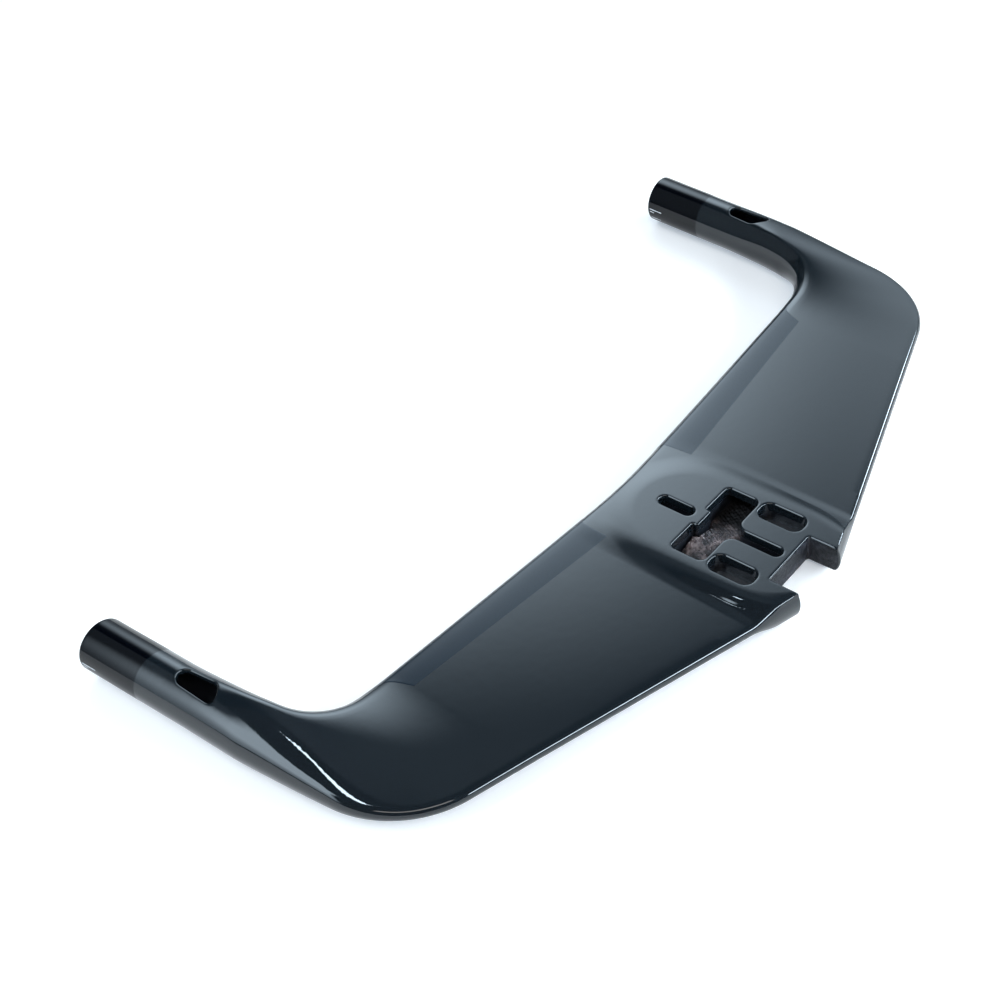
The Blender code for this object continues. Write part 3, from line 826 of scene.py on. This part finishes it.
def pocket(skin):
    """The T pocket and centre slot: deck-thick walls, ducts to both sides and a rough floor."""
    loop = pocket_loop()
    wide = duct_loop(loop)
    rings = [rim_ring(loop, True)]
    rings += [at_height(loop, lerp(DECK_Z - RIM, PLATE_BOTTOM, k / 4)) for k in range(1, 5)]
    walls(skin, rings, PAINT)
    walls(skin, [rings[-1], at_height(wide, PLATE_BOTTOM)], LINING)
    walls(skin, [at_height(wide, z) for z in np.linspace(PLATE_BOTTOM, POCKET_FLOOR, 5)], LINING)
    plan, tris = triangulated(wide, [], [], FLOOR_SPACING)
    edge = smooth(distance_to_lines(plan, [closed(wide)]) / FLOOR_EDGE)
    z = POCKET_FLOOR + edge * hump(plan[:, 0], plan[:, 1])
    skin.add(np.column_stack([plan, z]), tris, RAW)


def housing_rings(loop, housing):
    """Rings from an opening's rim down to the foot of the housing round its sleeve."""
    top = SLEEVE_TOP + HOUSING_GAP
    upper = [rim_ring(loop, True), at_height(loop, top)]
    return upper + [at_height(housing, top), at_height(housing, SLEEVE_BOTTOM)]


def front_slot(skin):
    """The housing of the front slot's sleeve, with its floor."""
    housing = front_slot_loop(SLOT_WALL + HOUSING_GAP)
    walls(skin, housing_rings(front_slot_loop(), housing), PAINT)
    plan, tris = triangulated(housing, [], [], BOTTOM_SPACING)
    skin.add(at_height(plan, SLEEVE_BOTTOM), tris, LINING)


def bolt_recess(skin, side):
    """The housing of one bolt sleeve, from the deck's rim through to the underside."""
    lower = lower_bolt_loop(side)
    rings = housing_rings(bolt_loop(side), bolt_loop(side, SLEEVE_WALL + HOUSING_GAP))
    rings += [at_height(lower, SLEEVE_BOTTOM), rim_ring(lower, False)]
    walls(skin, rings, PAINT)


def painted_body(materials):
    """The whole painted skin; returns the rounded end of the right ear at the notch."""
    skin = Skin()
    bolts = [bolt_loop(side) for side in (-1, 1)]
    middle_patch(skin, True, [pocket_loop(), front_slot_loop()] + bolts, TOP_SPACING)
    middle_patch(skin, False, [lower_bolt_loop(side) for side in (-1, 1)], BOTTOM_SPACING)
    nose_strip(skin)
    ends = tail_strips(skin)
    notch_walls(skin)
    horns(skin)
    pocket(skin)
    front_slot(skin)
    for side in (-1, 1):
        bolt_recess(skin, side)
    replaced = ("wing_upper_skin", "wing_lower_skin", "centre_boss", "left_horn", "right_horn")
    add_piece("painted_body", skin.mesh("painted_body"), materials, replaced)
    return ends


def closed_sheet(skin, outer, inner):
    """A thin closed sheet between two grids of points."""
    skin.grid(outer)
    skin.grid(inner)
    skin.grid(np.array([outer[0], inner[0]]))
    skin.grid(np.array([outer[-1], inner[-1]]))
    skin.grid(np.array([outer[:, 0], inner[:, 0]]))
    skin.grid(np.array([outer[:, -1], inner[:, -1]]))


def edge_film(word, side, film):
    """A thin film over the leading edge, with slanted ends and softly thinned borders."""
    lengthwise, across = FILM_STEPS
    j = np.arange(across + 1) / across
    i = np.arange(lengthwise + 1)[:, None] / lengthwise
    angle = lerp(FILM_ANGLES[0], FILM_ANGLES[1], j)
    share = np.minimum(1.0, 2 * j)
    start = lerp(FILM_START[0], FILM_START[1], share) / SPLICE_X
    s = lerp(start, lerp(FILM_END[0], FILM_END[1], share), i)
    border = np.minimum(np.minimum(j, 1 - j) * across, np.minimum(i, 1 - i) * lengthwise)
    proud = FILM_PROUD * smooth(lerp(FILM_BORDER, 1.0, np.minimum(border, 1.0)))
    outer = place(s, angle, -proud)
    inner = place(s, angle, FILM_SUNK)
    for rows in (outer, inner):
        rows[..., 0] *= side
    skin = Skin()
    closed_sheet(skin, outer, inner)
    name = word + "_edge_strip"
    add_piece(name, skin.mesh(name), (film,), (word + "_edge_film",), sharp=60)


def raw_bumps(a, b):
    """Uneven height of a moulded laminate face: waves a few hundredths of a millimetre high."""
    rolls = np.sin(a * 1900 + 2.0 * np.sin(b * 1100)) * np.sin(b * 2300 + 1.7 * np.sin(a * 800))
    return 0.00003 * rolls + 0.00002 * np.sin(a * 4100 + b * 3300)


def raw_plate(name, rows, outward, raw, replaced):
    """A thin uneven face of bare laminate, just proud of a wall of the notch."""
    rows = np.asarray(rows)
    middle = rows.reshape(-1, 3).mean(0)
    flat = np.delete(rows - middle, int(np.argmax(np.abs(outward))), axis=2)
    i = np.arange(rows.shape[0])[:, None] / (rows.shape[0] - 1)
    j = np.arange(rows.shape[1])[None] / (rows.shape[1] - 1)
    inner_part = smooth(np.minimum(np.minimum(i, 1 - i), np.minimum(j, 1 - j)) / RAW_BORDER)
    lift = inner_part * (RAW_PROUD + raw_bumps(flat[..., 0], flat[..., 1])) + RAW_CLEAR
    outer = rows + np.array(outward) * lift[..., None]
    inner = rows - np.array(outward) * RAW_SUNK
    skin = Skin()
    closed_sheet(skin, outer, inner)
    add_piece(name, skin.mesh(name), (raw,), (replaced,), sharp=60)


def notch_web(raw):
    """The uneven laminate face at the front of the notch."""
    high_steps = RAW_STEPS[0]
    x = np.linspace(-1, 1, 2 * high_steps - 1) * (NOTCH_HALF - NOTCH_CORNER)
    path = np.column_stack([x, np.full(len(x), NOTCH_Y)])
    high, low = rim_ring(path, True)[:, 2], rim_ring(path, False)[:, 2]
    z = lerp(low, high, np.linspace(0, 1, high_steps)[:, None])
    rows = np.stack([np.broadcast_to(x, z.shape), np.full(z.shape, NOTCH_Y), z], -1)
    raw_plate("notch_web_face", rows, (0, -1, 0), raw, "notch_web")


def ear_face(word, side, raw, ends):
    """The uneven laminate face on one side of the notch, round-ended like its ear."""
    rear = ends[:, 1].min() + RAW_INSET
    y = lerp(rear, NOTCH_Y - NOTCH_CORNER, np.linspace(0, 1, RAW_STEPS[1]))
    upper, lower = ends[len(ends) // 2:], ends[:len(ends) // 2 + 1]
    join = ends[-1, 1]
    inside_body = np.maximum(y, join)
    body = np.column_stack([np.full(len(y), NOTCH_HALF), inside_body])
    high, low = rim_ring(body, True)[:, 2], rim_ring(body, False)[:, 2]
    high = np.where(y < join, np.interp(y, upper[:, 1], upper[:, 2]), high)
    low = np.where(y < join, np.interp(y, lower[::-1, 1], lower[::-1, 2]), low)
    z = lerp(low, high, np.linspace(0, 1, RAW_STEPS[0])[:, None])
    rows = np.stack([np.full(z.shape, side * NOTCH_HALF), np.broadcast_to(y, z.shape), z], -1)
    raw_plate(word + "_ear_face", rows, (-side, 0, 0), raw, word + "_ear_core")


# Materials.

def shader_of(name, colour, roughness, coat=0.0, coat_roughness=0.03, specular=0.5):
    """A new Principled material; returns it with its node tree and shader."""
    made = bpy.data.materials.new(name)
    made.use_nodes = True
    shader = made.node_tree.nodes["Principled BSDF"]
    shader.inputs["Base Color"].default_value = (*colour, 1)
    shader.inputs["Roughness"].default_value = roughness
    shader.inputs["Coat Weight"].default_value = coat
    shader.inputs["Coat Roughness"].default_value = coat_roughness
    shader.inputs["Specular IOR Level"].default_value = specular
    return made, made.node_tree, shader


def mixed(tree, factor, first, second):
    """A colour between two others; each may be a colour or a node's output."""
    made = tree.nodes.new("ShaderNodeMix")
    made.data_type = "RGBA"
    for socket, value in ((0, factor), (6, first), (7, second)):
        if isinstance(value, bpy.types.NodeSocket):
            tree.links.new(value, made.inputs[socket])
        else:
            made.inputs[socket].default_value = value if socket == 0 else (*value, 1)
    return made.outputs[2]


def ranged(tree, value, low, high, to_low=0.0, to_high=1.0):
    """A soft ramp of a value, from to_low at low to to_high at high."""
    made = tree.nodes.new("ShaderNodeMapRange")
    made.interpolation_type = "SMOOTHSTEP"
    tree.links.new(value, made.inputs["Value"])
    made.inputs["From Min"].default_value = low
    made.inputs["From Max"].default_value = high
    made.inputs["To Min"].default_value = to_low
    made.inputs["To Max"].default_value = to_high
    return made.outputs["Result"]


def maths(tree, operation, *values):
    """A sum, product or comparison; each value may be a number or a node's output."""
    made = tree.nodes.new("ShaderNodeMath")
    made.operation = operation
    for socket, value in enumerate(values):
        if isinstance(value, bpy.types.NodeSocket):
            tree.links.new(value, made.inputs[socket])
        else:
            made.inputs[socket].default_value = value
    return made.outputs[0]


def place_of(tree):
    """The object's own coordinates, whole and split."""
    coordinates = tree.nodes.new("ShaderNodeTexCoord")
    split = tree.nodes.new("ShaderNodeSeparateXYZ")
    tree.links.new(coordinates.outputs["Object"], split.inputs[0])
    return coordinates.outputs["Object"], split.outputs


def noise(tree, where, scale, detail=4.0, roughness=0.55, stretch=None):
    if stretch:
        mapping = tree.nodes.new("ShaderNodeMapping")
        mapping.inputs["Scale"].default_value = stretch
        tree.links.new(where, mapping.inputs["Vector"])
        where = mapping.outputs["Vector"]
    made = tree.nodes.new("ShaderNodeTexNoise")
    made.inputs["Scale"].default_value = scale
    made.inputs["Detail"].default_value = detail
    made.inputs["Roughness"].default_value = roughness
    tree.links.new(where, made.inputs["Vector"])
    return made.outputs["Fac"]


def bumped(tree, shader, height, distance, coat=False):
    """Gives a shader, and its coat if asked, small bumps of a height map."""
    made = tree.nodes.new("ShaderNodeBump")
    made.inputs["Distance"].default_value = distance
    tree.links.new(height, made.inputs["Height"])
    tree.links.new(made.outputs["Normal"], shader.inputs["Normal"])
    if coat:
        tree.links.new(made.outputs["Normal"], shader.inputs["Coat Normal"])


def paint_material():
    """Dark blue-grey gloss paint, with bare glossy laminate at the horns' tips."""
    made, tree, shader = shader_of("gloss_paint", PAINT_COLOUR, 0.42, coat=1.0, specular=0.01)
    where, (_, y, z) = place_of(tree)
    cloud = noise(tree, where, 22.0)
    fine = noise(tree, where, 900.0, detail=2.0)
    tip = ranged(tree, y, TIP_LINE - 0.00015, TIP_LINE + 0.00015)
    paint_colour = mixed(tree, cloud, [c * 0.88 for c in PAINT_COLOUR], [c * 1.12 for c in PAINT_COLOUR])
    tip_colour = mixed(tree, fine, (0.0002, 0.0005, 0.0014), (0.0006, 0.0012, 0.0028))
    colour = mixed(tree, tip, paint_colour, tip_colour)
    white = tick_mask(tree, y, z)
    colour = mixed(tree, white, colour, TICK_COLOUR)
    tree.links.new(colour, shader.inputs["Base Color"])
    tree.links.new(ranged(tree, cloud, 0.3, 0.7, 0.38, 0.46), shader.inputs["Roughness"])
    tree.links.new(ranged(tree, tip, 0.0, 1.0, 1.0, 0.6), shader.inputs["Coat Weight"])
    peel = noise(tree, where, 260.0, detail=2.0)
    bumped(tree, shader, maths(tree, "ADD", peel, maths(tree, "MULTIPLY", fine, 0.15)), 0.000012, coat=True)
    return made


def tick_mask(tree, y, z):
    """Plain alignment ticks near both horn tips: bars along the horn, at three heights."""
    start_z = GRIP_RADIUS + GRIP_CLEARANCE - RISE * ROUND_Y
    height = maths(tree, "SUBTRACT", z, maths(tree, "MULTIPLY_ADD", y, RISE, start_z))
    mask = None
    for middle, start, end in TICKS:
        gap = maths(tree, "ABSOLUTE", maths(tree, "SUBTRACT", height, middle))
        near = maths(tree, "LESS_THAN", gap, TICK_HALF)
        after = maths(tree, "GREATER_THAN", y, start)
        before = maths(tree, "LESS_THAN", y, end)
        tick = maths(tree, "MULTIPLY", near, maths(tree, "MULTIPLY", after, before))
        mask = tick if mask is None else maths(tree, "MAXIMUM", mask, tick)
    return mask


def raw_material(name, dark, fibres, smears, specular, reach):
    """Bare moulded laminate: dark resin with paler smears and short fibres; beyond reach from the saddle's
    middle it fades to near black, painted shade.
    """
    made, tree, shader = shader_of(name, fibres, 0.55, specular=specular)
    where, (x, _, _) = place_of(tree)
    smear = noise(tree, where, 170.0, detail=6.0, roughness=0.62)
    fibre = noise(tree, where, 420.0, detail=3.0, stretch=(3.0, 0.35, 1.0))
    grain = noise(tree, where, 2400.0, detail=2.0)
    base = mixed(tree, ranged(tree, fibre, 0.35, 0.65), dark, fibres)
    colour = mixed(tree, ranged(tree, smear, 0.45, 0.68), base, smears)
    # Painted shade: beyond reach from the saddle's middle, towards the ducts, the colour fades to near
    # black.
    aside = maths(tree, "ABSOLUTE", maths(tree, "ADD", x, SADDLE_LEFT))
    colour = mixed(tree, ranged(tree, aside, reach, reach * 1.7), colour, (0.002, 0.002, 0.003))
    tree.links.new(colour, shader.inputs["Base Color"])
    tree.links.new(ranged(tree, grain, 0.3, 0.7, 0.42, 0.75), shader.inputs["Roughness"])
    height = maths(tree, "ADD", smear, maths(tree, "MULTIPLY", grain, 0.25))
    bumped(tree, shader, height, 0.00035)
    return made


def lining_material():
    """Thin dark resin inside the openings."""
    made, tree, shader = shader_of("lining", (0.006, 0.008, 0.011), 0.35, coat=0.4)
    where, _ = place_of(tree)
    cloud = noise(tree, where, 300.0)
    colour = mixed(tree, cloud, (0.004, 0.005, 0.008), (0.011, 0.014, 0.019))
    tree.links.new(colour, shader.inputs["Base Color"])
    tree.links.new(ranged(tree, cloud, 0.3, 0.7, 0.28, 0.45), shader.inputs["Roughness"])
    bumped(tree, shader, cloud, 0.00008)
    return made


def film_material():
    """Thin dark protective film with a soft satin surface."""
    middle = (0.010, 0.015, 0.022)
    made, tree, shader = shader_of("edge_film", middle, 0.40, 0.62, coat_roughness=0.05, specular=0.01)
    where, _ = place_of(tree)
    cloud = noise(tree, where, 60.0)
    fine = noise(tree, where, 1300.0, detail=2.0)
    colour = mixed(tree, cloud, (0.008, 0.013, 0.019), (0.012, 0.018, 0.026))
    tree.links.new(colour, shader.inputs["Base Color"])
    tree.links.new(ranged(tree, fine, 0.3, 0.7, 0.26, 0.36), shader.inputs["Roughness"])
    bumped(tree, shader, fine, 0.000003)
    return made


def foam_material():
    """Stiff off-white foam, inside the thin rear edge."""
    made, tree, shader = shader_of("foam", (0.62, 0.60, 0.55), 0.9)
    where, _ = place_of(tree)
    cells = tree.nodes.new("ShaderNodeTexVoronoi")
    cells.inputs["Scale"].default_value = 1500.0
    tree.links.new(where, cells.inputs["Vector"])
    colour = mixed(tree, cells.outputs["Distance"], (0.50, 0.48, 0.43), (0.72, 0.70, 0.65))
    tree.links.new(colour, shader.inputs["Base Color"])
    bumped(tree, shader, cells.outputs["Distance"], 0.0002)
    return made


def floor_material():
    """Matt floor that glows a little, so that shadows on it stay pale."""
    made, tree, shader = shader_of("floor", FLOOR_COLOUR, 0.9, specular=0.1)
    where, _ = place_of(tree)
    cloud = noise(tree, where, 3.0)
    paler = [c * 1.03 for c in FLOOR_COLOUR]
    tree.links.new(mixed(tree, cloud, FLOOR_COLOUR, paler), shader.inputs["Base Color"])
    shader.inputs["Emission Color"].default_value = (*FLOOR_GLOW, 1)
    shader.inputs["Emission Strength"].default_value = FLOOR_STRENGTH
    return made


def glow_material(name, colour, strength, fades=()):
    """A softbox's light, faded across its own width and height.

    Each fade is an axis, 0 across or 1 up, then where it starts and ends along that axis, from
    0 to 1, and the share of the light at its start and at its end.
    """
    made = bpy.data.materials.new(name)
    made.use_nodes = True
    tree = made.node_tree
    tree.nodes.remove(tree.nodes["Principled BSDF"])
    light = tree.nodes.new("ShaderNodeEmission")
    light.inputs["Color"].default_value = (*colour, 1)
    coordinates = tree.nodes.new("ShaderNodeTexCoord")
    split = tree.nodes.new("ShaderNodeSeparateXYZ")
    tree.links.new(coordinates.outputs["Generated"], split.inputs[0])
    power = None
    for axis, *ramp in fades:
        faded = ranged(tree, split.outputs[axis], *ramp)
        power = faded if power is None else maths(tree, "MULTIPLY", power, faded)
    if power is None:
        light.inputs["Strength"].default_value = strength
    else:
        power = maths(tree, "MULTIPLY", power, strength)
        tree.links.new(power, light.inputs["Strength"])
    tree.links.new(light.outputs[0], tree.nodes["Material Output"].inputs["Surface"])
    return made


# Studio.

def stage_plane(name, points, material):
    """One four-sided part of the stage."""
    mesh = bpy.data.meshes.new(name)
    mesh.from_pydata(points, [], [(0, 1, 2, 3)])
    mesh.materials.append(material)
    made = bpy.data.objects.new(name, mesh)
    bpy.context.scene.collection.objects.link(made)
    return made


def backdrop():
    """White walls round the floor, which only the camera sees."""
    white = glow_material("backdrop", WHITE, 1.0)
    half, top = BACKDROP_HALF, BACKDROP_HEIGHT
    corners = [(-half, -half), (half, -half), (half, half), (-half, half)]
    for number, (start, end) in enumerate(zip(corners, corners[1:] + corners[:1])):
        points = [(*start, FLOOR_Z), (*end, FLOOR_Z), (*end, top), (*start, top)]
        wall = stage_plane("wall_%d" % number, points, white)
        wall.visible_diffuse = wall.visible_glossy = False
        wall.visible_transmission = wall.visible_shadow = False


def softbox(name, material, origin, azimuth, distance, width, heights, lean=0.0):
    """A softbox that faces a point on the floor; the camera doesn't see it itself."""
    half, (low, high) = width / 2, heights
    made = stage_plane(name, [(-half, low, 0), (half, low, 0), (half, high, 0), (-half, high, 0)], material)
    angle = math.radians(azimuth)
    made.location = Vector((*origin, 0)) + Vector((math.cos(angle), math.sin(angle), 0)) * distance
    upright = Euler((math.pi / 2, 0, angle - math.pi / 2)).to_matrix()
    made.rotation_euler = (upright @ Matrix.Rotation(-math.radians(lean), 3, "Z")).to_euler()
    made.visible_camera = False


def studio():
    """A white floor and backdrop, and softboxes whose reflections shape the gloss."""
    corners = ((-1, -1), (1, -1), (1, 1), (-1, 1))
    points = [(a * FLOOR_HALF, b * FLOOR_HALF, FLOOR_Z) for a, b in corners]
    stage_plane("floor", points, floor_material())
    backdrop()
    # The wide key behind the bar, dimmer to the right and fading out on all sides.
    key = glow_material("key_light", COOL, 5.5, (
        (1, 0.267, 0.56, 1.0, 0.05),
        (1, 0.05, 0.26, 0.12, 1.0),
        (0, 0.50, 0.59, 1.0, 0.34),
        (0, 0.39, 0.49, 0.02, 1.0),
    ))
    softbox("key", key, (-0.10, -0.05), azimuth=40, distance=1.5, width=6.0, heights=(0.0, 3.6))
    # A tall side light leaning to the right, for the long highlight on the left horn.
    side = glow_material("side_light", COOL, 6.4, (
        (1, 0.0, 0.16, 0.36, 1.0),
        (1, 0.9, 1.0, 1.0, 0.0),
        (0, 0.28, 0.60, 1.0, 0.045),
        (0, 0.02, 0.12, 0.0, 1.0),
    ))
    softbox("side", side, (-0.19, 0.0), azimuth=138, distance=0.5, width=0.90, heights=(0.0, 2.3),
            lean=17)
    # A small high light for the crisp glints on the left corner and beside the left ear.
    spot = glow_material("spot_light", COOL, 28.0)
    softbox("spot", spot, (-0.18, -0.03), azimuth=57, distance=0.49, width=0.045, heights=(1.34, 1.53))
    # A low strip along the trailing edges, and a large fill behind the camera.
    strip = glow_material("strip_light", COOL, 34.0, ((1, 0.0, 0.35, 0.0, 1.0), (1, 0.5, 1.0, 1.0, 0.0)))
    softbox("strip", strip, (-0.05, -0.05), azimuth=-55, distance=1.1, width=1.9, heights=(0.32, 0.64))
    fill = glow_material("fill_light", WARM, 4.2)
    softbox("fill", fill, (0.0, 0.0), azimuth=-135, distance=1.6, width=2.0, heights=(1.7, 3.0))
    world = bpy.data.worlds.new("studio")
    bpy.context.scene.world = world
    world.use_nodes = True
    world.node_tree.nodes["Background"].inputs["Color"].default_value = (*WHITE, 1)
    world.node_tree.nodes["Background"].inputs["Strength"].default_value = WORLD_STRENGTH
    bpy.context.scene.view_settings.view_transform = "Standard"


def camera():
    """The photographer's view: from behind the left horn, a little over 40 degrees down."""
    data = bpy.data.cameras.new("camera")
    data.sensor_width = 36
    data.lens = CAMERA_LENS
    made = bpy.data.objects.new("camera", data)
    turned = Matrix((CAMERA_RIGHT, CAMERA_UP, CAMERA_RIGHT.cross(CAMERA_UP))).transposed()
    made.matrix_world = Matrix.Translation(CAMERA_PLACE) @ turned.to_4x4()
    bpy.context.scene.collection.objects.link(made)
    bpy.context.scene.camera = made


def dress_cad_nodes(raw, lining, film, foam):
    """Gives each CAD node that still shows, or stays inside, its procedural material."""
    for name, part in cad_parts.items():
        look = raw
        if "sleeve" in name:
            look = lining
        if "edge_film" in name:
            look = film
        if "trailing_edge_core" in name:
            look = foam
        for holder in part.material_slots:
            holder.material = look


paint, lining = paint_material(), lining_material()
# Bare laminate, with painted shade beyond 10.5 mm from the saddle's middle.
raw = raw_material("raw_laminate", (0.012, 0.011, 0.014), (0.055, 0.046, 0.050), (0.24, 0.19, 0.19),
                   0.5, 0.0105)
# The notch's laminate: the same texture with every colour darkened, painted shade on the notch's walls.
notch_raw_shaded = raw_material("notch_laminate_shaded", (0.0015, 0.002, 0.004), (0.006, 0.008, 0.012),
                         (0.027, 0.028, 0.036), 0.3, 0.1)
film, foam = film_material(), foam_material()
camera()
ear_ends = painted_body((paint, raw, lining, notch_raw_shaded))
notch_web(notch_raw_shaded)
for side, word in ((-1, "left"), (1, "right")):
    ear_face(word, side, notch_raw_shaded, ear_ends)
    edge_film(word, side, film)
dress_cad_nodes(raw, lining, film, foam)
studio()
